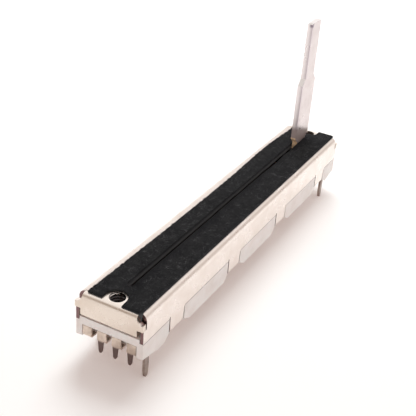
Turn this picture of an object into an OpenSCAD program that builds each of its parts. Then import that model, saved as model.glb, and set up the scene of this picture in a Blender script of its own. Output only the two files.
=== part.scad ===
// Slide potentiometer: a mixer fader with a felt dust cover and a tall strip lever
// X runs along the travel, Y across, Z up; origin under the middle, on the plane of the leg tips

/* [Frame] */
// Length over the two end plates
overall_l = 75; // [68:0.5:95]
// Width over the side walls
frame_w = 11.5; // [11.3:0.1:14]
// Thickness of the frame sheet
sheet_t = 0.5; // [0.4:0.05:0.6]
// Outside radius of the two long bends
bend_r = 1.25; // [0.9:0.05:1.5]
// Depth of the side walls, from the top face to their lower edge
wall_drop = 4.75; // [4.6:0.05:5]
// Distance of the lower wall corners behind the faces of the end plates
low_setback = 0.3; // [0.2:0.05:0.5]
// Gap between the upper wall corners and the back of the end plates
notch_gap = 0.3; // [0.2:0.05:0.5]

/* [Clinch tabs] */
// Number of clinch tabs on each wall
tab_count = 4; // [3:1:4]
// Distance of the first tab from the near end of the walls
tab_near_gap = 7.55; // [6.5:0.05:8.5]
// Distance of the last tab from the far end of the walls
tab_far_gap = 5.85; // [5:0.05:7]
// Width of a tab at the wall
tab_w = 4.3; // [3.5:0.1:5]
// How much narrower a tab is at its foot
tab_taper = 0.5; // [0:0.1:1]
// Depth of the clinched feet, from the top face
tab_drop = 7.6; // [7.4:0.05:7.8]
// Length of a clinched foot across the underside
tab_foot = 1.3; // [1.2:0.05:1.35]
// Width of the slit beside each tab
slit_w = 0.22; // [0.15:0.01:0.4]
// How far the slit runs up into the wall
slit_rise = 0.3; // [0.1:0.05:0.6]

/* [End plates] */
// Thickness of the end plates
plate_t = 0.8; // [0.7:0.05:1]
// Outside radius of the bend on an end plate
plate_bend_r = 1; // [0.9:0.05:1.2]
// Depth of an end plate's lower edge
plate_drop = 3.55; // [3.2:0.05:3.8]
// Top of the locating wings
wing_top = 1.4; // [1.2:0.05:1.6]
// Underside of the locating wings
wing_low = 2.45; // [2.2:0.05:2.8]
// How much an end plate is narrower than the frame at its top bend, each side
plate_top_inset = 1.1; // [1:0.05:1.45]
// How much an end plate is narrower than the frame under its wings, each side
plate_low_inset = 0.95; // [0.65:0.05:1.25]
// Width of the flat that an end plate turns inwards along its bend
plate_lip = 0.25; // [0.1:0.05:0.4]
// Distance of a tapped hole from the face of its end plate
hole_inset = 2.3; // [2.2:0.05:2.4]
// Core radius of the tapped holes
hole_r = 1.25; // [1:0.05:1.3]
// Outside radius of the tongue round its hole
tongue_r = 1.8; // [1.7:0.05:1.9]
// Depth of the drawn collar under each tapped hole
collar_h = 0.7; // [0.4:0.05:0.9]
// Outside radius of the drawn collar
collar_r = 1.62; // [1.6:0.01:1.65]
// Radius of the hollow corner cuts and the tongue's root fillets
corner_r = 1; // [0.8:0.05:1.1]

/* [Dust cover] */
// How much the felt strip is narrower than the frame, each side
cover_inset = 1.1; // [0.95:0.05:1.35]
// Thickness of the felt strip
cover_t = 0.35; // [0.25:0.05:0.5]
// Sideways lie of the felt strip
cover_shift = -0.4; // [-0.5:0.05:0]
// Distance from the plate's face to the near cut of the felt
cover_setback = 0.6; // [0.5:0.05:1]
// How far the near cut of the felt runs out of square
cover_skew = 0.25; // [0:0.05:0.5]
// How far the felt laps over the inner rim of a tongue
cover_lap = 0.1; // [0:0.05:0.2]

/* [Base moulding] */
// Depth of the base's upper rim
rim_drop = 4.15; // [4:0.05:4.25]
// Depth of the skirts, from the top face
base_drop = 8.4; // [8.2:0.05:8.8]
// Wall thickness between a tray side and the outer face
side_t = 1.12; // [1:0.01:1.2]
// Depth of the lintel over the terminals
lintel_drop = 5.45; // [5.35:0.01:5.47]
// Thickness of the tray floor
floor_t = 0.8; // [0.7:0.05:0.9]
// Length of the solid block at each end of the tray
end_block_l = 3.2; // [3:0.05:3.3]
// Depth of the top of the end blocks
end_block_drop = 1.6; // [1.5:0.05:1.8]
// How much the end blocks are narrower than the frame above the rim, each side
end_block_inset = 1.45; // [1.35:0.05:1.65]
// Gap between the end blocks and the end plates
end_block_gap = 0.7; // [0.3:0.05:0.8]
// Radius of the well that clears a screw's point
screw_well_r = 1.75; // [1.7:0.05:1.85]
// Slope length at the near side of each skirt
skirt_near_ramp = 1.8; // [1:0.1:2.2]
// Slope length at the far side of each skirt
skirt_far_ramp = 1.1; // [0.6:0.1:1.5]
// Slope length of the outermost skirt at the near end
skirt_end_ramp = 4.6; // [2:0.1:5]
// Height of the upright edge over each slope
skirt_lip = 0.4; // [0.2:0.05:0.6]
// Thickness of the skirts
skirt_t = 1.32; // [1.2:0.01:1.33]

/* [Legs] */
// Reach of the legs below the skirts
leg_reach = 3.2; // [2.5:0.1:4]
// Width of a leg
leg_w = 1; // [0.8:0.05:1.2]
// Thickness of a leg
leg_t = 0.45; // [0.3:0.05:0.5]
// Length of a leg held in the moulding
leg_root = 0.9; // [0.6:0.05:1]
// Width of a leg at its tip
leg_tip_w = 0.5; // [0.3:0.05:0.7]
// Distance of the near right-hand leg from the end of the base
leg_inset = 1.7; // [1.4:0.1:2.5]

/* [Terminals] */
// Gap between the outer terminals and the tray sides
terminal_gap = 0.025; // [0.015:0.005:0.05]
// Width of a terminal
terminal_w = 1.55; // [1.3:0.05:1.55]
// Thickness of the terminal strip
terminal_t = 0.3; // [0.2:0.01:0.35]
// Depth of the folded part of a terminal
terminal_depth = 1.3; // [1:0.05:1.35]
// Depth of the lower fold, from the top face
fold_drop = 7.4; // [7.2:0.05:7.5]
// Depth of the pin tips, from the top face
pin_drop = 9.5; // [9:0.1:11]
// Distance of the pins behind the front of their fold
pin_setback = 0.2; // [0.15:0.05:0.8]
// Sideways shift of the pins from the middle of their fold
pin_shift = 0.32; // [0:0.02:0.32]
// Width of a pin where it starts
pin_w = 0.9; // [0.7:0.05:1]
// Width of a pin at its tip
pin_tip_w = 0.6; // [0.4:0.05:0.7]

/* [Resistor element] */
// Thickness of the element board
board_t = 0.8; // [0.6:0.05:1]
// Gap between the element board and the tray sides
board_gap = 0.13; // [0.1:0.01:0.3]
// Thickness of the printed tracks
track_t = 0.06; // [0.04:0.01:0.1]
// Width of a carbon track
carbon_w = 1.1; // [0.8:0.05:1.2]
// Width of a collector track
collector_w = 0.9; // [0.7:0.05:1]
// Distance of the carbon tracks from the edges of the board
carbon_inset = 1.28; // [1.1:0.01:1.4]
// Distance between the middles of a carbon and a collector track
track_pitch = 1.6; // [1.5:0.05:1.7]

/* [Guide rods] */
// Radius of a guide rod
rod_r = 0.7; // [0.5:0.05:0.75]
// Distance of the rods from the sides of the carriage
rod_inset = 1; // [0.9:0.05:1.1]
// Depth of the rod axes
rod_drop = 2.9; // [2.8:0.05:3]
// Length of a rod held in each end block
rod_seat = 1.3; // [1:0.05:1.6]

/* [Slider] */
// Distance of the lever from each end of the part at the limits of its travel
travel_margin = 7.5; // [7.5:0.1:12]
// Length of the carriage
carriage_l = 6.4; // [6:0.1:6.4]
// Gap between the carriage and the side walls
carriage_side_gap = 1.05; // [1:0.05:1.15]
// Gap between the frame and the top of the carriage
carriage_gap = 0.25; // [0.2:0.05:0.35]
// Depth of the carriage's underside
carriage_drop = 4.8; // [4.7:0.05:4.9]
// Height of the carriage's middle rails over and under its side wings
rail_h = 0.6; // [0.4:0.05:0.7]
// Clearance between the carriage and a rod
rod_clear = 0.06; // [0.02:0.01:0.1]
// Thickness of the rubber stops
bumper_t = 0.9; // [0.6:0.05:0.95]
// Width of the rubber stops
bumper_w = 2.4; // [2:0.1:3]

/* [Lever] */
// Thickness of the lever strip
lever_t = 1; // [0.8:0.05:1.2]
// Height of the lever above the top face
lever_h = 25; // [18:0.5:30]
// Width of the lever's upper part, which takes a knob
lever_tip_w = 4.1; // [3.6:0.1:4.4]
// Width of the lever's lower part
lever_low_w = 6.3; // [5.4:0.1:6.4]
// Height of the lever's shoulders
shoulder_h = 12.9; // [10:0.1:14]
// Height of the slope at the shoulders
shoulder_rise = 1.2; // [0.8:0.1:1.6]
// Width of the neck through the slot
neck_w = 4; // [3.6:0.1:4.2]
// Height of the neck above the top face
neck_h = 0.75; // [0.6:0.05:1]
// Height of the slope over the neck
neck_rise = 1; // [0.6:0.1:1.4]
// Width of the lever's root in the carriage
root_w = 5.2; // [4.8:0.1:5.4]
// Depth of the lever's root
root_drop = 3.6; // [3.2:0.05:3.8]
// Clearance of the lever in the frame's slot
slot_clear = 0.35; // [0.3:0.05:0.5]

/* [Wipers] */
// Thickness of the wiper springs
wiper_t = 0.12; // [0.1:0.01:0.15]
// Number of fingers on each track
finger_count = 3; // [2:1:3]
// Width of a finger
finger_w = 0.18; // [0.14:0.01:0.2]
// Length of a finger
finger_l = 2.2; // [1.8:0.1:2.4]
// Running gap under the finger tips
wiper_gap = 0.08; // [0.05:0.01:0.12]
// Length of the bridge that joins the fingers
bridge_l = 1.2; // [1:0.1:1.4]
// Radius of the stakes that hold the bridges
stake_r = 0.3; // [0.2:0.05:0.35]
// Height of the stakes under the carriage
stake_h = 0.25; // [0.15:0.05:0.3]
// Thickness of the drag spring
drag_t = 0.15; // [0.1:0.01:0.2]
// Height of the drag spring
drag_h = 1.4; // [1:0.1:1.4]
// Length of the flats at the ends and the middle of the drag spring
drag_flat = 0.6; // [0.4:0.1:1]
// Gap between the drag spring and the wall
drag_gap = 0.2; // [0.15:0.01:0.3]

/* [Hidden] */
$fn = 48;

// Small overlap that keeps cutting faces clear of the faces they cut
cut = 0.1;
// Fit between parts that are pressed or moulded together
fit = 0.02;
// Working gap between sheet parts
gap = 0.1;

// Heights: every depth is measured down from the top face of the frame
top_z = leg_reach + base_drop;
function down(depth) = top_z - depth;

half_l = overall_l / 2;
half_w = frame_w / 2;
low_end_x = half_l - low_setback;
high_end_x = half_l - plate_t - notch_gap;
hole_x = half_l - hole_inset;
plate_top_w = frame_w - 2 * plate_top_inset;
plate_low_w = frame_w - 2 * plate_low_inset;
plate_flat_x = half_l - plate_bend_r - plate_lip;

// Places of the clinch tabs along the wall, near edge first
tab_pitch = (2 * low_end_x - tab_near_gap - tab_far_gap - tab_w) / (tab_count - 1);
tab_x = [for (i = [0 : tab_count - 1]) tab_near_gap - low_end_x + i * tab_pitch];
tab_bend_r = sheet_t + gap;

// The tray inside the base
tray_half_w = half_w - fit - side_t;
floor_z = down(fold_drop - floor_t);
board_top_z = floor_z + board_t;
board_half_w = tray_half_w - board_gap;
carbon_y = board_half_w - carbon_inset;
collector_y = carbon_y - track_pitch;
block_x = half_l - end_block_l;
pocket_x = low_end_x - terminal_depth - gap;
base_half_w = half_w - fit;
rim_half_w = half_w - sheet_t - gap;

// Places of the four near terminals, counted from the left-hand side
terminal_pitch = 2 * (tray_half_w - terminal_gap - terminal_w / 2) / 3;
terminal_y = [1.5, 0.5, -0.5, -1.5] * terminal_pitch;
pocket_half_w = terminal_y[0] + terminal_w / 2 + gap;

// Places of the legs: near right-hand corner, then beside the first and the last clinch tab
leg_y = base_half_w - skirt_t / 3;
leg_edge = leg_w / 2 + 2 * gap;
last_tab = tab_x[tab_count - 1];
leg_places = [
    [leg_inset - low_end_x, -leg_y],
    [tab_x[0] - slit_w - leg_edge - skirt_far_ramp, leg_y],
    [last_tab + tab_w + leg_edge, -leg_y],
    [last_tab + tab_w + leg_edge, leg_y]];

// Rest place of the slider: the far end of its travel
rest_x = half_l - travel_margin;
slot_half_l = rest_x + neck_w / 2 + slot_clear;
slot_w = lever_t + 2 * slot_clear;
carriage_w = frame_w - 2 * (sheet_t + carriage_side_gap);
carriage_top_z = down(sheet_t + carriage_gap);
carriage_low_z = down(carriage_drop);
finger_pitch = finger_w * 1.7;
rod_y = carriage_w / 2 - rod_inset;
stake_x = -(finger_l + bridge_l) / 2;
stake_y = rod_y - rod_r - 2 * stake_r;
track_top_z = board_top_z + track_t;
track_half_l = block_x - bumper_t;

steel = [0.80, 0.77, 0.73];
plated = [0.88, 0.86, 0.83];
tinned = [0.72, 0.66, 0.58];
white_plastic = [0.90, 0.87, 0.87];
felt = [0.14, 0.14, 0.14];
phenolic = [0.55, 0.36, 0.18];
carbon = [0.10, 0.10, 0.11];
silver = [0.78, 0.78, 0.76];
black_plastic = [0.10, 0.10, 0.10];
spring_brass = [0.80, 0.62, 0.34];
rubber = [0.16, 0.15, 0.15];

// A shape drawn in Y and Z, drawn out along X
module along_x(x0, x1) {
    translate([x0, 0, 0]) rotate([90, 0, 90]) linear_extrude(x1 - x0) children();
}

// A shape drawn in X and Z, drawn out along Y
module along_y(y0, y1) {
    translate([0, y1, 0]) rotate([90, 0, 0]) linear_extrude(y1 - y0) children();
}

// A box between two corners
module block(low, high) {
    translate(low) cube(high - low);
}

// Copies on both sides of the middle, across the part
module both_sides() {
    children();
    mirror([0, 1, 0]) children();
}

// Copies at the far end and, turned half round, at the near end
module both_ends() {
    children();
    mirror([1, 0, 0]) children();
}

// Arch outline: a wide bar with two round upper corners
module arch(w, r, z_top, z_low) {
    for (s = [-1, 1])
        translate([s * (w / 2 - r), z_top - r]) circle(r = r);
    translate([r - w / 2, z_low]) square([w - 2 * r, z_top - z_low]);
    translate([-w / 2, z_low]) square([w, z_top - r - z_low]);
}

// Section of one clinch tab: the wall, the bend and the foot under the base
module tab_section() {
    foot_z = down(tab_drop);
    bend_y = half_w - tab_bend_r;
    translate([half_w - sheet_t, foot_z + tab_bend_r])
        square([sheet_t, tab_drop - wall_drop + sheet_t - tab_bend_r]);
    translate([half_w - tab_foot, foot_z])
        square([tab_foot - tab_bend_r, sheet_t]);
    intersection() {
        translate([bend_y, foot_z + tab_bend_r]) difference() {
            circle(r = tab_bend_r);
            circle(r = tab_bend_r - sheet_t);
        }
        translate([bend_y, foot_z]) square(tab_bend_r);
    }
}

// One clinch tab, with its slanted far edge
module clinch_tab(x0) {
    root_z = down(wall_drop) + sheet_t;
    intersection() {
        along_x(x0, x0 + tab_w) tab_section();
        along_y(0, frame_w) polygon([
            [x0, down(tab_drop) - cut],
            [x0 + tab_w - tab_taper, down(tab_drop) - cut],
            [x0 + tab_w - tab_taper / 2, down(wall_drop) - slit_rise],
            [x0 + tab_w, down(wall_drop)],
            [x0 + tab_w, root_z],
            [x0, root_z]]);
    }
}

// Folded sheet channel: web with the lever slot, bent walls, clinch tabs and end notches
module frame() {
    color(plated)
    difference() {
        union() {
            along_x(-low_end_x, low_end_x) difference() {
                arch(frame_w, bend_r, top_z, down(wall_drop));
                arch(frame_w - 2 * sheet_t, bend_r - sheet_t, down(sheet_t), down(wall_drop) - cut);
            }
            both_sides() for (x = tab_x) clinch_tab(x);
        }
        // Walls stop short behind the wings of the end plates
        both_ends()
            block([high_end_x, -half_w - cut, down(wing_low + fit)],
                [half_l, half_w + cut, top_z + cut]);
        // Web stops at the lips of the end plates
        both_ends()
            block([plate_flat_x - gap, -plate_top_w / 2 - gap, down(wing_low)],
                [half_l, plate_top_w / 2 + gap, top_z + cut]);
        // Room for the tongues
        both_ends() {
            translate([hole_x, 0, down(wing_low)])
                cylinder(r = tongue_r + gap, h = wing_low + cut);
            block([hole_x, -tongue_r - corner_r - gap, down(wing_low)],
                [half_l, tongue_r + corner_r + gap, top_z + cut]);
        }
        // Lever slot with round ends
        block([-slot_half_l + slot_w / 2, -slot_w / 2, down(wing_low)],
            [slot_half_l - slot_w / 2, slot_w / 2, top_z + cut]);
        both_ends()
            translate([slot_half_l - slot_w / 2, 0, down(wing_low)])
                cylinder(d = slot_w, h = wing_low + cut);
        // Slits beside the tabs
        for (x = tab_x)
            block([x - slit_w, -half_w - cut, down(wall_drop) - cut],
                [x, half_w + cut, down(wall_drop) + slit_rise]);
    }
}

// Outline of an end plate seen along the part: body, wings and hollow upper corners
module plate_face() {
    corner_y = plate_top_w / 2 + corner_r;
    translate([-plate_low_w / 2, down(plate_drop)])
        square([plate_low_w, plate_drop - wing_low + cut]);
    translate([-half_w, down(wing_low)])
        square([frame_w, wing_low - wing_top]);
    translate([-plate_top_w / 2, down(wing_top) - cut])
        square([plate_top_w, wing_top + cut]);
    difference() {
        translate([-corner_y, down(wing_top) - cut])
            square([2 * corner_y, corner_r + cut]);
        for (s = [-1, 1])
            translate([s * corner_y, down(wing_top) + corner_r])
                circle(r = corner_r);
    }
}

// Outline of an end plate seen from above: the bent edge, its lip and the tongue
module plate_plan() {
    root_x = plate_flat_x;
    fillet_r = corner_r / 2;
    difference() {
        union() {
            translate([root_x, -half_w]) square([half_l - root_x, frame_w]);
            translate([hole_x, 0]) circle(r = tongue_r);
            translate([hole_x, -tongue_r]) square([root_x - hole_x + cut, 2 * tongue_r]);
            translate([root_x - fillet_r, -tongue_r - fillet_r])
                square([fillet_r + cut, 2 * (tongue_r + fillet_r)]);
        }
        for (s = [-1, 1])
            translate([root_x - fillet_r, s * (tongue_r + fillet_r)])
                circle(r = fillet_r);
    }
}

// Folded end plate with its tongue and tapped hole, drawn at the far end
module end_plate() {
    difference() {
        union() {
            intersection() {
                along_y(-half_w, half_w) difference() {
                    union() {
                        translate([half_l - plate_bend_r, down(plate_bend_r)]) circle(r = plate_bend_r);
                        translate([half_l - plate_t, down(plate_drop)])
                            square([plate_t, plate_drop - plate_bend_r]);
                        translate([hole_x - tongue_r, down(plate_t)])
                            square([half_l - plate_bend_r - hole_x + tongue_r, plate_t]);
                    }
                    translate([half_l - plate_bend_r, down(plate_bend_r)])
                        circle(r = plate_bend_r - plate_t);
                    translate([hole_x - tongue_r - cut, down(plate_drop) - cut])
                        square([half_l - plate_t - hole_x + tongue_r + cut, plate_drop - plate_bend_r + cut]);
                    translate([hole_x - tongue_r - cut, down(plate_drop) - cut])
                        square([half_l - plate_bend_r - hole_x + tongue_r + cut, plate_drop - plate_t + cut]);
                }
                along_x(hole_x - tongue_r, half_l) plate_face();
                translate([0, 0, down(plate_drop)]) linear_extrude(plate_drop) plate_plan();
            }
            // Drawn collar that carries the thread
            translate([hole_x, 0, down(plate_t + collar_h)]) cylinder(r = collar_r, h = collar_h + fit);
        }
        translate([hole_x, 0, down(plate_t + collar_h) - cut])
            cylinder(r = hole_r, h = plate_t + collar_h + 2 * cut);
    }
}

module end_plate_far() {
    color(plated) end_plate();
}

module end_plate_near() {
    color(plated) mirror([1, 0, 0]) end_plate();
}

// Felt strip with the lever's slit and a cut-out round each tongue
module dust_cover() {
    near_x = cover_setback - half_l;
    side_l = cover_shift + cover_inset - half_w;
    side_r = cover_shift - cover_inset + half_w;
    ring_back = tongue_r - hole_r - cover_lap;
    color(felt)
    translate([0, 0, top_z])
    linear_extrude(cover_t)
    difference() {
        polygon([
            [near_x, side_l],
            [-near_x, side_l],
            [-near_x, side_r],
            [near_x + cover_skew, side_r]]);
        for (s = [-1, 1]) {
            translate([s * (hole_x + ring_back), 0]) circle(r = tongue_r + fit);
            translate([s * (hole_x + ring_back + half_l), 0])
                square([2 * half_l, 2 * (tongue_r + fit)], center = true);
        }
        square([2 * slot_half_l - slot_w, slot_w], center = true);
        for (s = [-1, 1])
            translate([s * (slot_half_l - slot_w / 2), 0]) circle(d = slot_w);
    }
}

// Side view of the skirts under the seam: one foot in each window between the tabs
module skirt_profile() {
    seat_z = down(tab_drop - sheet_t) + fit;
    low_z = down(base_drop);
    starts = concat([-low_end_x], [for (x = tab_x) x + tab_w + fit]);
    ends = concat([for (x = tab_x) x - slit_w], [low_end_x]);
    for (i = [0 : len(starts) - 1]) {
        near_ramp = i == 0 ? skirt_end_ramp : skirt_near_ramp;
        far_ramp = i == len(starts) - 1 ? 2 * skirt_near_ramp : skirt_far_ramp;
        polygon([
            [starts[i], seat_z + cut],
            [starts[i], seat_z - skirt_lip],
            [starts[i] + near_ramp, low_z],
            [ends[i] - far_ramp, low_z],
            [ends[i], seat_z - skirt_lip],
            [ends[i], seat_z + cut]]);
    }
}

// Seats in the base for the clinch tabs
module tab_seats() {
    both_sides()
        for (x = tab_x) {
            block([x - slit_w, half_w - sheet_t - gap, down(tab_drop) - cut],
                [x + tab_w + fit, half_w + cut, down(wall_drop) + cut]);
            block([x - slit_w, half_w - tab_foot - gap, down(base_drop) - cut],
                [x + tab_w + fit, half_w + cut, down(tab_drop - sheet_t) + fit]);
        }
}

// Moulded tray: floor, walls, end blocks with rod sockets and screw wells, lintels and skirts
module base() {
    seam_z = down(wall_drop) - fit;
    wall_low_z = down(tab_drop - sheet_t) + fit;
    color(white_plastic)
    difference() {
        union() {
            block([-low_end_x, -base_half_w, wall_low_z], [low_end_x, base_half_w, seam_z]);
            block([-low_end_x, -rim_half_w, seam_z - cut], [low_end_x, rim_half_w, down(rim_drop)]);
            both_sides() along_y(base_half_w - skirt_t, base_half_w) skirt_profile();
            block([-pocket_x, -tray_half_w, down(fold_drop)], [pocket_x, tray_half_w, wall_low_z + cut]);
            both_ends()
                block([block_x, end_block_inset - half_w, down(rim_drop) - cut],
                    [half_l - plate_t - end_block_gap, half_w - end_block_inset, down(end_block_drop)]);
        }
        tab_seats();
        // Tray over the floor
        block([-block_x, -tray_half_w, floor_z], [block_x, tray_half_w, top_z]);
        // Slot under the lintels for the board and the terminal tails
        block([-half_l, -tray_half_w, floor_z], [half_l, tray_half_w, down(lintel_drop)]);
        both_ends() {
            // Open pocket round the folded terminals
            block([pocket_x, -pocket_half_w, down(base_drop) - cut], [half_l, pocket_half_w, down(lintel_drop)]);
            // Well under the tapped hole
            translate([hole_x, 0, down(rim_drop)])
                cylinder(r = screw_well_r, h = rim_drop);
            // Sockets for the guide rods
            for (s = [-1, 1])
                translate([block_x - cut, s * rod_y, down(rod_drop)])
                    rotate([0, 90, 0]) cylinder(r = rod_r + fit, h = rod_seat + fit + cut);
        }
        // Slots for the legs
        for (p = leg_places)
            translate([p[0], p[1], 0]) leg_slot();
    }
}

// Resin-bonded board in the tray
module element_board() {
    color(phenolic)
    block([-pocket_x + gap, -board_half_w, floor_z], [pocket_x - gap, board_half_w, board_top_z]);
}

// One printed track on the board
module track(y, w) {
    block([-track_half_l, y - w / 2, board_top_z], [track_half_l, y + w / 2, track_top_z]);
}

module carbon_track_a() {
    color(carbon) track(carbon_y, carbon_w);
}

module carbon_track_b() {
    color(carbon) track(-carbon_y, carbon_w);
}

module collector_track_a() {
    color(silver) track(collector_y, collector_w);
}

module collector_track_b() {
    color(silver) track(-collector_y, collector_w);
}

// Side view of a terminal strip: tail on the board, fold and return, drawn at the far end
module terminal_fold() {
    front_x = low_end_x;
    tail_z = board_top_z;
    high_z = tail_z + terminal_t;
    low_z = down(fold_drop);
    r = terminal_t + gap;
    ri = r - terminal_t;
    difference() {
        union() {
            translate([track_half_l + gap, tail_z])
                square([front_x - r - track_half_l - gap, terminal_t]);
            translate([front_x - r, high_z - r]) circle(r = r);
            translate([front_x - terminal_t, low_z + r]) square([terminal_t, high_z - low_z - 2 * r]);
            translate([front_x - r, low_z + r]) circle(r = r);
            translate([front_x - terminal_depth, low_z]) square([terminal_depth - r, terminal_t]);
        }
        translate([front_x - r, high_z - r]) circle(r = ri);
        translate([front_x - r, low_z + r]) circle(r = ri);
        translate([front_x - r - terminal_depth, low_z + r])
            square([terminal_depth + ri, high_z - low_z - 2 * r]);
        translate([front_x - r - terminal_depth, low_z + terminal_t])
            square([terminal_depth, tail_z - low_z - terminal_t]);
    }
}

// Folded strip of a terminal at the far end
module terminal(y) {
    translate([0, y, 0])
        along_y(-terminal_w / 2, terminal_w / 2) terminal_fold();
}

// The same with a tapered pin, which is bent down from the lower fold
module terminal_with_pin(y) {
    pin_top = down(fold_drop) + terminal_t;
    pin_x = low_end_x - pin_setback;
    terminal(y);
    translate([0, y + pin_shift, 0])
        along_x(pin_x - terminal_t, pin_x) polygon([
            [-pin_w / 2, pin_top],
            [-pin_w / 2, down(fold_drop)],
            [-pin_tip_w / 2, down(pin_drop) + pin_tip_w / 2],
            [-pin_tip_w / 4, down(pin_drop)],
            [pin_tip_w / 4, down(pin_drop)],
            [pin_tip_w / 2, down(pin_drop) + pin_tip_w / 2],
            [pin_w / 2, down(fold_drop)],
            [pin_w / 2, pin_top]]);
}

module terminal_near(y) {
    color(tinned) mirror([1, 0, 0]) terminal_with_pin(y);
}

// The left-hand terminal has no pin
module terminal_near_1() {
    color(tinned) mirror([1, 0, 0]) terminal(terminal_y[0]);
}

module terminal_near_2() {
    terminal_near(terminal_y[1]);
}

module terminal_near_3() {
    terminal_near(terminal_y[2]);
}

module terminal_near_4() {
    terminal_near(terminal_y[3]);
}

module terminal_far_1() {
    color(tinned) terminal_with_pin(terminal_y[0]);
}

module terminal_far_2() {
    color(tinned) terminal_with_pin(terminal_y[3]);
}

// Slot in the moulding for the root of a leg
module leg_slot() {
    block([-leg_w / 2 - fit, -leg_t / 2 - fit, down(base_drop) - cut],
        [leg_w / 2 + fit, leg_t / 2 + fit, down(tab_drop) + leg_root + fit]);
}

// Flat tapered leg
module leg(p) {
    tip_h = leg_reach / 3;
    color(tinned)
    translate([p[0], p[1], 0])
    along_y(-leg_t / 2, leg_t / 2) polygon([
        [-leg_w / 2, down(tab_drop) + leg_root],
        [-leg_w / 2, tip_h],
        [-leg_tip_w / 2, 0],
        [leg_tip_w / 2, 0],
        [leg_w / 2, tip_h],
        [leg_w / 2, down(tab_drop) + leg_root]]);
}

module leg_near_right() {
    leg(leg_places[0]);
}

module leg_near_left() {
    leg(leg_places[1]);
}

module leg_far_right() {
    leg(leg_places[2]);
}

module leg_far_left() {
    leg(leg_places[3]);
}

// Ground steel rod between the end blocks
module guide_rod(y) {
    color(steel)
    translate([-block_x - rod_seat, y, down(rod_drop)])
        rotate([0, 90, 0]) cylinder(r = rod_r, h = 2 * (block_x + rod_seat));
}

module guide_rod_left() {
    guide_rod(rod_y);
}

module guide_rod_right() {
    guide_rod(-rod_y);
}

// Rubber pad on the inner face of an end block
module end_stop() {
    color(rubber)
    block([block_x - bumper_t, -bumper_w / 2, carriage_low_z + gap],
        [block_x, bumper_w / 2, down(end_block_drop) - gap]);
}

module end_stop_far() {
    end_stop();
}

module end_stop_near() {
    mirror([1, 0, 0]) end_stop();
}

// Side view of the lever strip, from its root in the carriage to its tip
module lever_outline() {
    tip_z = top_z + lever_h;
    shoulder_z = top_z + shoulder_h;
    neck_z = top_z + neck_h;
    root_z = down(root_drop);
    root_top_z = root_z + (carriage_top_z - root_z) / 2;
    edge = lever_t / 4;
    half_outline = [
        [root_w / 2, root_z],
        [root_w / 2, root_top_z],
        [neck_w / 2, root_top_z],
        [neck_w / 2, neck_z],
        [lever_low_w / 2, neck_z + neck_rise],
        [lever_low_w / 2, shoulder_z],
        [lever_tip_w / 2, shoulder_z + shoulder_rise],
        [lever_tip_w / 2, tip_z - edge],
        [lever_tip_w / 2 - edge, tip_z]];
    polygon(concat(half_outline,
        [for (i = [len(half_outline) - 1 : -1 : 0]) [-half_outline[i][0], half_outline[i][1]]]));
}

// Blanked lever strip
module lever() {
    color(plated)
    translate([rest_x, 0, 0])
        along_y(-lever_t / 2, lever_t / 2) lever_outline();
}

// Moulded carriage round the lever's root, on the two rods, with a stake for each wiper
module carriage() {
    color(black_plastic)
    translate([rest_x, 0, 0])
    difference() {
        union() {
            block([-carriage_l / 2, -carriage_w / 2, carriage_low_z + rail_h],
                [carriage_l / 2, carriage_w / 2, carriage_top_z - rail_h]);
            block([-carriage_l / 2, -rod_y + rod_r, carriage_low_z],
                [carriage_l / 2, rod_y - rod_r, carriage_top_z]);
            both_sides()
                translate([stake_x, stake_y, carriage_low_z - stake_h])
                    cylinder(r = stake_r, h = stake_h + cut);
        }
        along_y(-lever_t / 2, lever_t / 2) lever_outline();
        for (s = [-1, 1])
            translate([-carriage_l / 2 - cut, s * rod_y, down(rod_drop)])
                rotate([0, 90, 0]) cylinder(r = rod_r + rod_clear, h = carriage_l + 2 * cut);
        // Waist that leaves the drag spring room to flex
        block([-carriage_l / 4, -carriage_w / 2 - cut, carriage_low_z],
            [carriage_l / 4, -carriage_w / 2 + drag_t, carriage_top_z]);
    }
}

// Side view of a sprung finger, from its root down to the contact and up again
module finger_outline() {
    high_z = carriage_low_z - wiper_t;
    low_z = track_top_z + wiper_gap;
    tip_z = low_z + 2 * wiper_t;
    bend_x = finger_l - 3 * wiper_t;
    polygon([
        [0, high_z + wiper_t],
        [0, high_z],
        [bend_x - wiper_t, low_z],
        [bend_x, low_z],
        [finger_l, tip_z],
        [finger_l - wiper_t / 2, tip_z + wiper_t / 2],
        [bend_x - wiper_t / 2, low_z + wiper_t],
        [wiper_t, high_z + wiper_t]]);
}

// Wiper spring under the carriage: a staked bridge with fingers for both tracks of its side
module wiper() {
    span = (carbon_y - collector_y) / 2;
    bridge_w = 2 * span + (finger_count - 1) * finger_pitch + finger_w;
    color(spring_brass)
    translate([rest_x, (carbon_y + collector_y) / 2, 0]) {
        translate([0, 0, carriage_low_z - wiper_t])
            linear_extrude(wiper_t) difference() {
                translate([stake_x - bridge_l / 2, -bridge_w / 2])
                    square([bridge_l, bridge_w]);
                translate([stake_x, stake_y - (carbon_y + collector_y) / 2])
                    circle(r = stake_r + fit);
            }
        for (side = [-1, 1])
            for (k = [0 : finger_count - 1])
                translate([-finger_l / 2, side * span + (k - (finger_count - 1) / 2) * finger_pitch, 0])
                    along_y(-finger_w / 2, finger_w / 2) finger_outline();
    }
}

module wiper_a() {
    wiper();
}

module wiper_b() {
    mirror([0, 1, 0]) wiper();
}

// Bowed leaf on the carriage's side, which drags lightly along the wall
module drag_spring() {
    low_y = drag_gap + sheet_t - half_w;
    back_y = -carriage_w / 2;
    end_x = carriage_l / 2 - drag_flat;
    color(spring_brass)
    translate([rest_x, 0, down(rod_drop) - drag_h / 2])
        linear_extrude(drag_h) polygon([
            [-end_x, back_y],
            [end_x, back_y],
            [end_x, back_y - drag_t],
            [end_x - drag_flat, back_y - drag_t],
            [drag_flat, low_y],
            [-drag_flat, low_y],
            [drag_flat - end_x, back_y - drag_t],
            [-end_x, back_y - drag_t]]);
}

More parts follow.
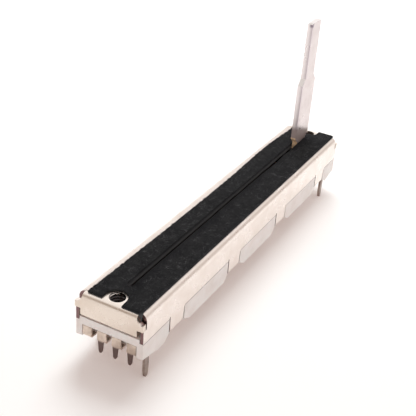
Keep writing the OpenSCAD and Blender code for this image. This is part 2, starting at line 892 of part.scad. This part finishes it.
frame();
end_plate_near();
end_plate_far();
dust_cover();
base();
element_board();
carbon_track_a();
carbon_track_b();
collector_track_a();
collector_track_b();
terminal_near_1();
terminal_near_2();
terminal_near_3();
terminal_near_4();
terminal_far_1();
terminal_far_2();
leg_near_right();
leg_near_left();
leg_far_right();
leg_far_left();
guide_rod_left();
guide_rod_right();
end_stop_near();
end_stop_far();
lever();
carriage();
wiper_a();
wiper_b();
drag_spring();
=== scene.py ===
import math
import random

import bmesh
import bpy
from mathutils import Matrix, Vector, noise


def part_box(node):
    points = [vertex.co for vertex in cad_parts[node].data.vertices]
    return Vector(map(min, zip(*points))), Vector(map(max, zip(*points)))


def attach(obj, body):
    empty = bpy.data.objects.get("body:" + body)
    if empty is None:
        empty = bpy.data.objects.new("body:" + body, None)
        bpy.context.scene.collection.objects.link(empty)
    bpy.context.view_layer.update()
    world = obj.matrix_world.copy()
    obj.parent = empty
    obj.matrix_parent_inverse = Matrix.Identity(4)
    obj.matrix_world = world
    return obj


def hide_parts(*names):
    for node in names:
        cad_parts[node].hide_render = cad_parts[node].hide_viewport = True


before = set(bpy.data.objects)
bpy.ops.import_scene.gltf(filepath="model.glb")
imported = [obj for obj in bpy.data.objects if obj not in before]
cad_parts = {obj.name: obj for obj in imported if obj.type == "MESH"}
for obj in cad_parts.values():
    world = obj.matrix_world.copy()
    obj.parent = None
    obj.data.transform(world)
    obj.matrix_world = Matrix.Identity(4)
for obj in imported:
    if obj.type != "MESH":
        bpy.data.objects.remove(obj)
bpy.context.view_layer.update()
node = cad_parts
mm = 0.001

# Folded sheet frame and end plates: bright plated steel, blanked and folded in a press.
# The plating is faintly warm, rolled along the sheet, and dulled here and there by handling. The
# end plates' upward faces get a painted highlight, and the near hole's bore is painted dark as shade.
hole_x = 35.2  # middle of each tapped hole along X, mm
core_r = 1.25  # radius of a tapped hole's plain wall, mm


def axes(tree, kind, output):
    """The X, Y and Z of the object's own coordinates or of the surface's normal."""
    split = tree.nodes.new("ShaderNodeSeparateXYZ")
    tree.links.new(tree.nodes.new(kind).outputs[output], split.inputs["Vector"])
    return split.outputs


def texture(tree, vector, **settings):
    """A noise texture over the given coordinates."""
    cloud = tree.nodes.new("ShaderNodeTexNoise")
    for socket, value in settings.items():
        cloud.inputs[socket].default_value = value
    tree.links.new(vector, cloud.inputs["Vector"])
    return cloud.outputs["Fac"]


def ramp(tree, source, start, end, smooth=True):
    """A mask that rises from 0 where source is start to 1 where it is end."""
    step = tree.nodes.new("ShaderNodeMapRange")
    if smooth:
        step.interpolation_type = "SMOOTHSTEP"
    step.inputs["From Min"].default_value = start
    step.inputs["From Max"].default_value = end
    tree.links.new(source, step.inputs["Value"])
    return step.outputs["Result"]


def join(tree, operation, a, b=None):
    """A maths operation on one mask, or on two; b may also be a plain number."""
    both = tree.nodes.new("ShaderNodeMath")
    both.operation = operation
    tree.links.new(a, both.inputs[0])
    if isinstance(b, (int, float)):
        both.inputs[1].default_value = b
    elif b:
        tree.links.new(b, both.inputs[1])
    return both.outputs["Value"]


wear = bpy.data.node_groups.new("sheet_wear", "ShaderNodeTree")
for mask in ("Smudge", "Grain", "Pits", "Cut edge", "Bore"):
    wear.interface.new_socket(mask, in_out="OUTPUT", socket_type="NodeSocketFloat")
out = wear.nodes.new("NodeGroupOutput")
own = wear.nodes.new("ShaderNodeTexCoord").outputs["Object"]
rolled = wear.nodes.new("ShaderNodeMapping")
rolled.inputs["Scale"].default_value = (120, 5200, 5200)
wear.links.new(own, rolled.inputs["Vector"])
wear.links.new(texture(wear, own, Scale=330, Detail=5, Roughness=0.62), out.inputs["Smudge"])
wear.links.new(texture(wear, rolled.outputs["Vector"], Scale=1, Detail=3), out.inputs["Grain"])
wear.links.new(texture(wear, own, Scale=3800, Detail=2), out.inputs["Pits"])
along_x = join(wear, "ABSOLUTE", axes(wear, "ShaderNodeNewGeometry", "True Normal")["X"])
wear.links.new(ramp(wear, along_x, 0.9, 0.98, smooth=False), out.inputs["Cut edge"])
from_hole = wear.nodes.new("ShaderNodeVectorMath")
from_hole.operation = "SUBTRACT"
from_hole.inputs[1].default_value = (-hole_x * mm, 0, 0)
flat = wear.nodes.new("ShaderNodeVectorMath")
flat.operation = "MULTIPLY"
flat.inputs[1].default_value = (1, 1, 0)
radius = wear.nodes.new("ShaderNodeVectorMath")
radius.operation = "LENGTH"
wear.links.new(own, from_hole.inputs[0])
wear.links.new(from_hole.outputs["Vector"], flat.inputs[0])
wear.links.new(flat.outputs["Vector"], radius.inputs[0])
# Marks the near hole's plain bore wall, which is painted dark as the shade inside the hole.
bore_shade = ramp(wear, radius.outputs["Value"], (core_r + 0.007) * mm, (core_r + 0.002) * mm, smooth=False)
wear.links.new(bore_shade, out.inputs["Bore"])


def material(name):
    """A new material, with its node tree and its Principled shader."""
    mat = bpy.data.materials.new(name)
    mat.use_nodes = True
    return mat, mat.node_tree, mat.node_tree.nodes["Principled BSDF"]


def two_tone(tree, source, low_at, low, high_at, high):
    """A colour that goes from low to high as source goes from low_at to high_at."""
    tone = tree.nodes.new("ShaderNodeValToRGB")
    for stop, at, colour in zip(tone.color_ramp.elements, (low_at, high_at), (low, high)):
        stop.position = at
        stop.color = (*colour, 1)
    tree.links.new(source, tone.inputs["Fac"])
    return tone.outputs["Color"]


def mixed(tree, mask, a, colour):
    """The colour from socket a, with another laid over it where mask is 1."""
    coat = tree.nodes.new("ShaderNodeMix")
    coat.data_type = "RGBA"
    coat.inputs["B"].default_value = (*colour, 1)
    tree.links.new(mask, coat.inputs["Factor"])
    tree.links.new(a, coat.inputs["A"])
    return coat.outputs["Result"]


def paint(tree, mask, colour):
    """Lay a colour over whatever feeds the shader's base colour, where mask is 1."""
    base = tree.nodes["Principled BSDF"].inputs["Base Color"]
    tree.links.new(mixed(tree, mask, base.links[0].from_socket, colour), base)


def relief(tree, height, strength, depth, edge=0):
    """Bump the shader's normal by a height; edge is the radius that rounds the arrises."""
    bump = tree.nodes.new("ShaderNodeBump")
    bump.inputs["Strength"].default_value = strength
    bump.inputs["Distance"].default_value = depth
    tree.links.new(height, bump.inputs["Height"])
    if edge:
        soft = tree.nodes.new("ShaderNodeBevel")
        soft.samples = 4
        soft.inputs["Radius"].default_value = edge
        tree.links.new(soft.outputs["Normal"], bump.inputs["Normal"])
    tree.links.new(bump.outputs["Normal"], tree.nodes["Principled BSDF"].inputs["Normal"])


def metal(name, dull, bright, rough_low, rough_high, edge=0.06 * mm, mask=None, masked=(0, 0, 0)):
    """A plated or plain metal: colour and roughness follow the smudges, the bump the rolled grain.
    mask names the group output that marks what has the colour masked instead."""
    mat, tree, shader = material(name)
    worn = tree.nodes.new("ShaderNodeGroup")
    worn.node_tree = wear
    tone = two_tone(tree, worn.outputs["Smudge"], 0.32, dull, 0.6, bright)
    tree.links.new(tone, shader.inputs["Base Color"])
    if mask:
        paint(tree, worn.outputs[mask], masked)
    rough = tree.nodes.new("ShaderNodeMapRange")
    rough.inputs["From Min"].default_value = 0.35
    rough.inputs["From Max"].default_value = 0.65
    rough.inputs["To Min"].default_value = rough_high
    rough.inputs["To Max"].default_value = rough_low
    tree.links.new(worn.outputs["Smudge"], rough.inputs["Value"])
    tree.links.new(rough.outputs["Result"], shader.inputs["Roughness"])
    relief(tree, worn.outputs["Grain"], 0.12, 0.02 * mm, edge)
    shader.inputs["Metallic"].default_value = 1
    return mat


node["frame"].data.materials[0] = metal(
    "frame_steel", (0.84, 0.755, 0.695), (0.90, 0.825, 0.775), 0.25, 0.35,
    mask="Cut edge", masked=(0.22, 0.135, 0.135))
# The near hole's bore is painted near-black as painted shade inside the hole.
plate_steel = metal("plate_steel", (0.73, 0.63, 0.54), (0.79, 0.70, 0.62), 0.25, 0.35,
                    mask="Bore", masked=(0.05, 0.045, 0.045))
tree = plate_steel.node_tree
# Painted highlight: the end plates' upward faces are painted lighter, as if lit.
top_highlight = ramp(tree, axes(tree, "ShaderNodeNewGeometry", "True Normal")["Z"], 0.78, 0.92)
paint(tree, top_highlight, (0.99, 0.92, 0.85))
for name in ("end_plate_near", "end_plate_far"):
    node[name].data.materials[0] = plate_steel

# Threads of the two tapped holes: cut in the drawn collars of the end plates, 0.5 mm pitch.
# Each is one helical ridge with a crest just inside the plain wall, run out at both mouths. The
# first turn is bright, and below it the threads are painted dark as shade deep in the hole.


def piece(name, form, mat):
    """Turn a finished bmesh into an object of the scene with one material."""
    mesh = bpy.data.meshes.new(name)
    form.to_mesh(mesh)
    form.free()
    made = bpy.data.objects.new(name, mesh)
    bpy.context.scene.collection.objects.link(made)
    mesh.materials.append(mat)
    return made


thread_steel = metal("thread_steel", (0.62, 0.56, 0.52), (0.80, 0.74, 0.70), 0.2, 0.34)
tree = thread_steel.node_tree
# Painted shade: below the first turn the threads are painted dark, as shade inside the hole.
deep_shade = ramp(tree, axes(tree, "ShaderNodeTexCoord", "Object")["Z"], 11.2 * mm, 11.0 * mm)
paint(tree, deep_shade, (0.05, 0.045, 0.045))
thread_top, pitch, turns, steps = 11.32, 0.5, 2.7, 40  # mm, mm, and steps in each turn
root_r, thread_depth, fade_steps = core_r + 0.02, 0.19, 14
root_half, crest_half = 0.21, 0.04  # half the ridge's height at its root and at its crest, mm
for name, end in (("thread_near", -1), ("thread_far", 1)):
    form = bmesh.new()
    rings = []
    for i in range(int(turns * steps) + 1):
        angle = 2 * math.pi * i / steps
        run_out = min(1, i / fade_steps, (turns * steps - i) / fade_steps)
        crest_r = root_r - thread_depth * max(run_out, 0.05)
        z = thread_top - pitch * i / steps
        ring = []
        for r, dz in ((root_r, root_half), (crest_r, crest_half),
                      (crest_r, -crest_half), (root_r, -root_half)):
            ring.append(form.verts.new(((end * hole_x + r * math.cos(angle)) * mm,
                                        r * math.sin(angle) * mm, (z + dz) * mm)))
        rings.append(ring)
    for near, far in zip(rings, rings[1:]):
        for k in range(4):
            form.faces.new((near[k], near[(k + 1) % 4], far[(k + 1) % 4], far[k]))
    form.faces.new(list(reversed(rings[0])))
    form.faces.new(rings[-1])
    bmesh.ops.recalc_face_normals(form, faces=form.faces)
    thread = piece(name, form, thread_steel)
    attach(thread, "housing")

# Dust cover: a strip of thin grey-black felt stuck to the top of the frame, slit for the lever.
# The slit's lips turn down into the frame's slot; the left edge is cut unevenly and stands up a
# little towards the far end, and a round bite at each end clears the tongue.
felt, tree, shader = material("felt")
own = tree.nodes.new("ShaderNodeTexCoord").outputs["Object"]
patch = texture(tree, own, Scale=420, Detail=6, Roughness=0.7)
nap = texture(tree, own, Scale=4200, Detail=4, Distortion=1.6)
tone = two_tone(tree, join(tree, "MULTIPLY", patch, nap),
                0.14, (0.0085, 0.0084, 0.0096), 0.42, (0.0268, 0.0262, 0.027))
tree.links.new(tone, shader.inputs["Base Color"])
at = axes(tree, "ShaderNodeTexCoord", "Object")
# Painted light: the lips' turned-down faces are painted lighter to make up for the shade in the slot.
lit_lips = ramp(tree, at["Z"], 11.84 * mm, 11.5 * mm, smooth=False)
paint(tree, lit_lips, (0.088, 0.086, 0.088))
# Painted light: lower down, the left lip's turned-down face is painted lighter still, to offset its shade
# in the slot.
left_lip = join(tree, "COMPARE", at["Y"], 0.5 * mm)
left_lip.node.inputs[2].default_value = 0.3 * mm
lit_left_lip = join(tree, "MULTIPLY", left_lip, ramp(tree, at["Z"], 11.6 * mm, 11.1 * mm))
paint(tree, lit_left_lip, (0.21, 0.205, 0.21))
relief(tree, nap, 0.9, 0.08 * mm)
shader.inputs["Roughness"].default_value = 0.95
shader.inputs["Specular IOR Level"].default_value = 0.05
shader.inputs["Sheen Weight"].default_value = 0.03
shader.inputs["Sheen Roughness"].default_value = 0.5

sheet_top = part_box("dust_cover")[0].z / mm
cloth_top = sheet_top + 0.31          # top of the cloth where it lies flat, mm
bite_x, bite_r = 35.65, 1.82          # middle and radius of the bite round a tongue
slit_end, slit_half = 32.3, 0.52      # half the slit's length, and half its opening
strip_end = 36.55                     # half the strip's length
right_edge, bend_start, bend_r = 5.08, 4.5, 1.25  # the cloth's edge, and the frame's bend under it
left_cut = [(-36.6, 4.2), (-30, 4.1), (-18, 3.93), (-3, 3.79), (8, 3.86), (14, 4.05), (20, 4.22),
            (25, 4.2), (29, 4), (33, 3.76), (36.6, 3.65)]


def along(points, x):
    """The height at x of the line through the points."""
    for (x0, y0), (x1, y1) in zip(points, points[1:]):
        if x <= x1:
            return y0 + (y1 - y0) * max(0, (x - x0) / (x1 - x0))
    return points[-1][1]


def inner_edge(x):
    """Half the opening at x: the slit in the middle, a bridge, then the bite round the tongue."""
    a = abs(x)
    if a < slit_end:
        return slit_half * min(1, math.sqrt(max(0, slit_end - a) / 0.6) + 0.001)
    if a > bite_x:
        return bite_r
    return math.sqrt(max(0, bite_r ** 2 - (a - bite_x) ** 2)) if a > bite_x - bite_r else 0


def bend_drop(y):
    """How far the frame's right-hand bend has fallen away at y, which the cloth follows."""
    return bend_r - math.sqrt(bend_r ** 2 - max(0, -y - bend_start) ** 2)


def lip_lift(x):
    """How far the right-hand lip stands up at x: it lies lower where the lever has pressed it."""
    dent = sum(depth * math.exp(-((x - at_x) / reach) ** 2)
               for at_x, reach, depth in ((16.5, 3.4, 0.8), (24.3, 1.3, 1)))
    return 0.4 * max(0, 1 - dent) + 0.05 * noise.noise(Vector((x * 0.5, 2, 3)))


def crown(x, t, side):
    """How far the left-hand half bulges at x, a share t of the way from the slit to the edge."""
    if side < 0:
        return 0
    return max(0, (x - 8) / 28) * 0.16 * math.sin(math.pi * min(1, t * 0.9 + 0.05))


def wave(x, y, z, size):
    """Smooth unevenness of the given size."""
    return noise.noise(Vector((x, y, z))) * size


form = bmesh.new()
across = [0, 0.004, 0.008, 0.013, 0.019, 0.027, 0.045, 0.08, 0.15, 0.22,
          0.3, 0.4, 0.5, 0.6, 0.7, 0.79, 0.87, 0.93, 0.97, 1]
stations = [-strip_end + 0.3 * i for i in range(244)] + [strip_end]
stations += [s * v for s in (-1, 1) for v in (33.84, 33.88, 33.95, 34.05, 34.3, 34.7, 32.24, 32.29, 32.31)]
stations = sorted(v for v in set(stations) if abs(v) < strip_end + 0.01)
for side in (1, -1):
    rows = []
    for x in stations:
        skew = (-0.1 if side > 0 else -0.45) * max(0, 1 - (x + strip_end) / 2.2)
        inner = inner_edge(x)
        ragged = wave(x * 1.3, side * 7, 0, 0.15) + wave(x * 3.1, side * 3, 1, 0.1)
        outer = along(left_cut, x) + ragged if side > 0 else right_edge + 0.15 * ragged
        turned = min(1, max(0, (slit_end - abs(x)) / 0.8))
        row = []
        for t in across:
            d = (outer - inner) * t
            y = inner + d
            lie = wave(x * 0.21, y * 0.35, 5, 0.035) + wave(x * 1.1, y * 1.3, 9, 0.018)
            z = cloth_top + lie + crown(x, t, side) - 0.07 * max(0, (t - 0.9) / 0.1) ** 2
            z -= 0.1 * max(0, -(x + skew) - 36.5) / 0.5
            if side < 0:
                z -= bend_drop(-y)
                z += turned * lip_lift(x) * max(0, 1 - d / 0.75) ** 1.2
                drape = min(1, max(0, (-35.95 - x) / 0.6)) * max(0, (t - 0.84) / 0.16)
                z -= 1.1 * drape ** 2
                y += 0.12 * drape
            if d < 0.1:
                z -= turned * (1.01 + (lip_lift(x) if side < 0 else 0)) * (1 - d / 0.1) ** 1.3
            row.append(form.verts.new(((x + skew) * mm, side * y * mm, z * mm)))
        rows.append(row)
    for near, far in zip(rows, rows[1:]):
        for k in range(len(across) - 1):
            corners = (near[k], far[k], far[k + 1], near[k + 1])
            form.faces.new(corners if side > 0 else tuple(reversed(corners)))
bmesh.ops.remove_doubles(form, verts=form.verts, dist=0.004 * mm)
bmesh.ops.recalc_face_normals(form, faces=form.faces)
if sum(face.normal.z for face in form.faces) < 0:
    bmesh.ops.reverse_faces(form, faces=form.faces)
cover = piece("felt_cover", form, felt)
for face in cover.data.polygons:
    face.use_smooth = True
thick = cover.modifiers.new("thickness", "SOLIDIFY")
thick.thickness = 0.25 * mm
thick.offset = -1
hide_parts("dust_cover")
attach(cover, "housing")

# Loose fibres of the felt: short grey hairs lying on the strip and along its cut edges.
# They are one mesh of narrow bent ribbons and give the cloth its fuzzy, mottled look.
hair, tree, shader = material("felt_fibre")
vary = texture(tree, tree.nodes.new("ShaderNodeTexCoord").outputs["Object"], Scale=900)
tone = two_tone(tree, vary, 0.35, (0.017, 0.017, 0.018), 0.68, (0.115, 0.111, 0.115))
tree.links.new(tone, shader.inputs["Base Color"])
shader.inputs["Roughness"].default_value = 0.9
shader.inputs["Specular IOR Level"].default_value = 0.1
dice = random.Random(5)
form = bmesh.new()
fibre_count, half_wide, clear_of_slit, furthest = 5200, 0.012, 0.62, 36.7
for i in range(fibre_count):
    x = dice.uniform(-36.2, 36.3)
    side = dice.choice((1, -1))
    inner = inner_edge(x) + 0.1 * (abs(x) < slit_end)
    outer = (along(left_cut, x) if side > 0 else right_edge - 0.03) - 0.05
    t = dice.random() if dice.random() < 0.8 else dice.uniform(0.94, 1.0)
    y = side * (inner + 0.1 + (outer - inner - 0.1) * t)
    z = cloth_top - 0.01 + crown(x, t, side) - 0.05 * max(0, (t - 0.9) / 0.1) - bend_drop(y)
    angle = dice.uniform(0, 2 * math.pi)
    turn = dice.uniform(-1.2, 1.2)
    length = dice.uniform(0.25, 0.75)
    rise = dice.uniform(0.02, 0.08)
    previous = None
    for k in range(4):
        s = k / 3
        a = angle + turn * s
        px = x + length * s * math.cos(a)
        py = y + length * s * math.sin(a)
        limit = outer + 0.14
        py = max(-limit, min(limit, py))
        if abs(px) < slit_end and abs(py) < clear_of_slit:
            py = math.copysign(clear_of_slit, y)
        px = max(-furthest, min(furthest, px))
        pz = z + rise * math.sin(math.pi * (0.15 + 0.85 * s)) + 0.01
        wx, wy = -math.sin(a) * half_wide, math.cos(a) * half_wide
        pair = (form.verts.new(((px - wx) * mm, (py - wy) * mm, pz * mm)),
                form.verts.new(((px + wx) * mm, (py + wy) * mm, pz * mm)))
        if previous:
            form.faces.new((previous[0], previous[1], pair[1], pair[0]))
        previous = pair
fibres = piece("felt_fibres", form, hair)
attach(fibres, "housing")

# Base: a moulded tray in white plastic with a faint lilac tint, clamped by the frame's tabs.
# Moulded plastic lets a little light in, and its skin is satin with faint flow marks. A fine dark
# line of painted shadow lies in the seam under the frame's walls.
plastic, tree, shader = material("base_plastic")
worn = tree.nodes.new("ShaderNodeGroup")
worn.node_tree = wear
tone = two_tone(tree, worn.outputs["Smudge"], 0.3, (0.88, 0.76, 0.71), 0.62, (0.95, 0.85, 0.81))
tree.links.new(tone, shader.inputs["Base Color"])
# Painted shadow: a thin band under the frame's walls is painted dark, as the shadow the walls cast on the
# skirt.
seam_shadow = ramp(tree, axes(tree, "ShaderNodeTexCoord", "Object")["Z"], 6.66 * mm, 6.76 * mm, smooth=False)
sideways = join(tree, "ABSOLUTE", axes(tree, "ShaderNodeNewGeometry", "True Normal")["Y"])
paint(tree, join(tree, "MULTIPLY", seam_shadow, sideways), (0.30, 0.23, 0.22))
relief(tree, worn.outputs["Pits"], 0.1, 0.02 * mm, edge=0.1 * mm)
shader.inputs["Roughness"].default_value = 0.42
shader.inputs["Subsurface Weight"].default_value = 0.15
shader.inputs["Subsurface Radius"].default_value = (0.9 * mm, 0.6 * mm, 0.6 * mm)
shader.inputs["Subsurface Scale"].default_value = 0.5
node["base"].data.materials[0] = plastic

# Terminals and legs: tinned strip, folded or blanked and driven into the base, and dulled to a
# warm grey-brown. The pins below the folds are painted darker as shade, and the legs are darker than the
# folds.
terminal_tin = metal("terminal_tin", (0.52, 0.42, 0.35), (0.80, 0.69, 0.60), 0.34, 0.55)
tree = terminal_tin.node_tree
# Painted shade: the pins below the folds are painted darker, as the shade under the base.
pin_shade = ramp(tree, axes(tree, "ShaderNodeTexCoord", "Object")["Z"], 4.3 * mm, 4.0 * mm, smooth=False)
paint(tree, pin_shade, (0.16, 0.115, 0.105))
leg_tin = metal("leg_tin", (0.20, 0.15, 0.13), (0.44, 0.37, 0.33), 0.34, 0.5)
for name in node:
    if name.startswith("terminal_"):
        node[name].data.materials[0] = terminal_tin
    if name.startswith("leg_"):
        node[name].data.materials[0] = leg_tin

# Lever: a blanked strip of bright plated steel, stepped to take a knob, held in the carriage.
# Its sheared edges are paler and duller. The near face is painted darker towards the arris that faces
# the near right, as painted shade, and a darker spot lies beside that arris near the tip. Its up-facing
# faces get a painted highlight. The foot is painted a flat, non-metallic grey as the reflection of the
# dark felt, and an amber spot is painted low on the near edge.
lever_steel = metal("lever_steel", (0.65, 0.57, 0.56), (0.70, 0.625, 0.615), 0.26, 0.36, edge=0.05 * mm)
tree = lever_steel.node_tree
shader = tree.nodes["Principled BSDF"]
normal = axes(tree, "ShaderNodeNewGeometry", "Normal")
at = axes(tree, "ShaderNodeTexCoord", "Object")
sheared = join(tree, "ABSOLUTE", normal["X"])
paint(tree, sheared, (0.96, 0.88, 0.87))
arris = tree.nodes.new("ShaderNodeMapRange")  # the near edge's X, which steps at the shoulder's Z
arris.inputs["From Min"].default_value = 24.5 * mm
arris.inputs["From Max"].default_value = 25.7 * mm
arris.inputs["To Min"].default_value = 26.85 * mm
arris.inputs["To Max"].default_value = 27.95 * mm
tree.links.new(at["Z"], arris.inputs["Value"])
from_arris = join(tree, "ADD", join(tree, "SUBTRACT", at["X"], arris.outputs["Result"]), at["Y"])
# Painted shade: the near face darkens towards its right-hand arris.
paint(tree, ramp(tree, from_arris, 0.25 * mm, -0.5 * mm), (0.62, 0.54, 0.56))
# A darker spot beside that arris near the tip.
beside = ramp(tree, from_arris, 0.3 * mm, -0.2 * mm)
dark_tip = join(tree, "MULTIPLY", beside, ramp(tree, at["Z"], 35.6 * mm, 36.1 * mm))
paint(tree, dark_tip, (0.29, 0.23, 0.27))
# Painted highlight: faces that turn upwards are painted lighter.
paint(tree, ramp(tree, normal["Z"], 0.3, 0.65), (0.98, 0.95, 0.94))
# Painted reflection: the foot is painted a flat grey, non-metallic, in place of its mirror image of the
# dark felt.
tilted = join(tree, "ADD", at["Z"], join(tree, "MULTIPLY", at["X"], 0.34))
felt_reflection = ramp(tree, tilted, 25.4 * mm, 24.3 * mm)
paint(tree, felt_reflection, (0.38, 0.29, 0.27))
# An amber spot painted low on the near edge, non-metallic.
near_side = ramp(tree, normal["X"], -0.5, -0.7)
amber_spot = join(tree, "MULTIPLY", near_side, ramp(tree, at["Z"], 13.75 * mm, 13.4 * mm))
paint(tree, amber_spot, (1, 0.68, 0.42))
# Less metallic where the felt's reflection is painted and, partly, on the sheared edges.
reflection_and_shear = join(tree, "MAXIMUM", felt_reflection, join(tree, "MULTIPLY", sheared, 0.4))
tree.links.new(ramp(tree, reflection_and_shear, 1, 0, smooth=False), shader.inputs["Metallic"])
node["lever"].data.materials[0] = lever_steel

# Carriage, end stops, tracks and board: a black acetal moulding, two soft rubber pads, and carbon
# ink printed on brown laminate. All are hidden in the tray, under the frame.
for name, nodes, colour, roughness in (
        ("carriage_plastic", ("carriage",), (0.020, 0.020, 0.022), 0.35),
        ("rubber", ("end_stop_near", "end_stop_far"), (0.026, 0.025, 0.025), 0.85),
        ("carbon", ("carbon_track_a", "carbon_track_b"), (0.016, 0.016, 0.018), 0.5),
        ("board", ("element_board",), (0.045, 0.026, 0.014), 0.55)):
    mat, tree, shader = material(name)
    worn = tree.nodes.new("ShaderNodeGroup")
    worn.node_tree = wear
    darker, lighter = [c * 0.7 for c in colour], [c * 1.4 for c in colour]
    tone = two_tone(tree, worn.outputs["Smudge"], 0, darker, 1, lighter)
    tree.links.new(tone, shader.inputs["Base Color"])
    relief(tree, worn.outputs["Pits"], 0.15, 0.02 * mm)
    shader.inputs["Roughness"].default_value = roughness
    for each in nodes:
        node[each].data.materials[0] = mat

# Guide rods, collector tracks and wiper springs: ground steel rods held in the base, silver ink
# printed on the board, and brass leaves staked to the carriage. All are hidden in the tray.
for mat, nodes in (
        (metal("rod_steel", (0.55, 0.54, 0.53), (0.68, 0.67, 0.66), 0.15, 0.28),
         ("guide_rod_left", "guide_rod_right")),
        (metal("collector", (0.66, 0.65, 0.63), (0.80, 0.79, 0.77), 0.4, 0.55),
         ("collector_track_a", "collector_track_b")),
        (metal("spring_brass", (0.66, 0.44, 0.17), (0.82, 0.61, 0.30), 0.22, 0.38, edge=0.02 * mm),
         ("wiper_a", "wiper_b", "drag_spring"))):
    for each in nodes:
        node[each].data.materials[0] = mat

# Table: a plain pale sheet under the legs, wide enough to fill the picture. It shines a little of
# its own towards the camera and into the metal, warm near the part and white away from it.
paper, tree, shader = material("table_white")
shader.inputs["Base Color"].default_value = (0.92, 0.95, 0.96, 1)
shader.inputs["Roughness"].default_value = 0.9
shader.inputs["Specular IOR Level"].default_value = 0.1
radius = tree.nodes.new("ShaderNodeVectorMath")
radius.operation = "LENGTH"
tree.links.new(tree.nodes.new("ShaderNodeTexCoord").outputs["Object"], radius.inputs[0])
glow = two_tone(tree, ramp(tree, radius.outputs["Value"], 0.10, 0.35, smooth=False),
                0, (0.12, 0.05, 0.03), 1, (0.42, 0.42, 0.42))
tree.links.new(glow, shader.inputs["Emission Color"])
seen_by = tree.nodes.new("ShaderNodeLightPath").outputs
shown = join(tree, "MAXIMUM", seen_by["Is Camera Ray"], seen_by["Is Glossy Ray"])
tree.links.new(shown, shader.inputs["Emission Strength"])
form = bmesh.new()
bmesh.ops.create_grid(form, x_segments=1, y_segments=1, size=1.5)
table = piece("table", form, paper)

# Light: a bright surround with a darker ceiling, a soft lamp high beyond the far end and a weaker
# one high on the near side. Two dark patches, one high towards the near left and one low beyond the
# far right, show in the rounded bends of the sheet.
world = bpy.data.worlds.new("surround")
world.use_nodes = True
tree = world.node_tree
ground = tree.nodes["Background"]
around = tree.nodes.new("ShaderNodeTexCoord").outputs["Generated"]
upward = axes(tree, "ShaderNodeTexCoord", "Generated")["Z"]
sky = two_tone(tree, upward, 0.6, (1, 0.96, 0.94), 1, (0.84, 0.79, 0.76))
for centre, tone_there in (
        ((0.783, -0.607, 0.13), (0.60, 0.52, 0.48)),
        ((-0.617, 0.385, 0.687), (0.42, 0.35, 0.30))):
    toward = tree.nodes.new("ShaderNodeVectorMath")
    toward.operation = "DOT_PRODUCT"
    toward.inputs[1].default_value = Vector(centre).normalized()
    tree.links.new(around, toward.inputs[0])
    sky = mixed(tree, ramp(tree, toward.outputs["Value"], 0.93, 0.985), sky, tone_there)
tree.links.new(sky, ground.inputs["Color"])
seen_by = tree.nodes.new("ShaderNodeLightPath").outputs
level = tree.nodes.new("ShaderNodeMapRange")
level.inputs["To Min"].default_value = 0.62
level.inputs["To Max"].default_value = 1
shown = join(tree, "MAXIMUM", seen_by["Is Camera Ray"], seen_by["Is Glossy Ray"])
tree.links.new(shown, level.inputs["Value"])
tree.links.new(level.outputs["Result"], ground.inputs["Strength"])
bpy.context.scene.world = world
aim = Vector((0, 0, 0.01))
for name, stand, side_length, watts in (
        ("lamp_far", (0.17, 0.07, 0.27), 0.20, 0.76),
        ("lamp_near", (-0.45, -0.16, 0.34), 0.30, 0.2)):
    lamp = bpy.data.lights.new(name, "AREA")
    lamp.size = side_length
    lamp.energy = watts
    lamp.color = (0.95, 1, 1)
    holder = bpy.data.objects.new(name, lamp)
    bpy.context.scene.collection.objects.link(holder)
    holder.location = stand
    holder.rotation_euler = (aim - Vector(stand)).to_track_quat("-Z", "Y").to_euler()
    holder.visible_glossy = False

# Camera: the photograph's own view, from the near right-hand corner and above. Its place, its
# direction and its lens were matched to the straight edges of the object.
lens = bpy.data.cameras.new("camera")
lens.sensor_width = 36
lens.lens = 73.52
lens.clip_start = 0.005
lens.clip_end = 10
camera = bpy.data.objects.new("camera", lens)
bpy.context.scene.collection.objects.link(camera)
look = Vector((0.7833, 0.3849, -0.4882)).normalized()
right = look.cross(Vector((0.3994, 0.2902, 0.8696))).normalized()
turned = Matrix((right, right.cross(look), -look)).transposed().to_4x4()
camera.matrix_world = Matrix.Translation((-0.11848, -0.05398, 0.08243)) @ turned
bpy.context.scene.camera = camera
bpy.context.scene.view_settings.view_transform = "Standard"
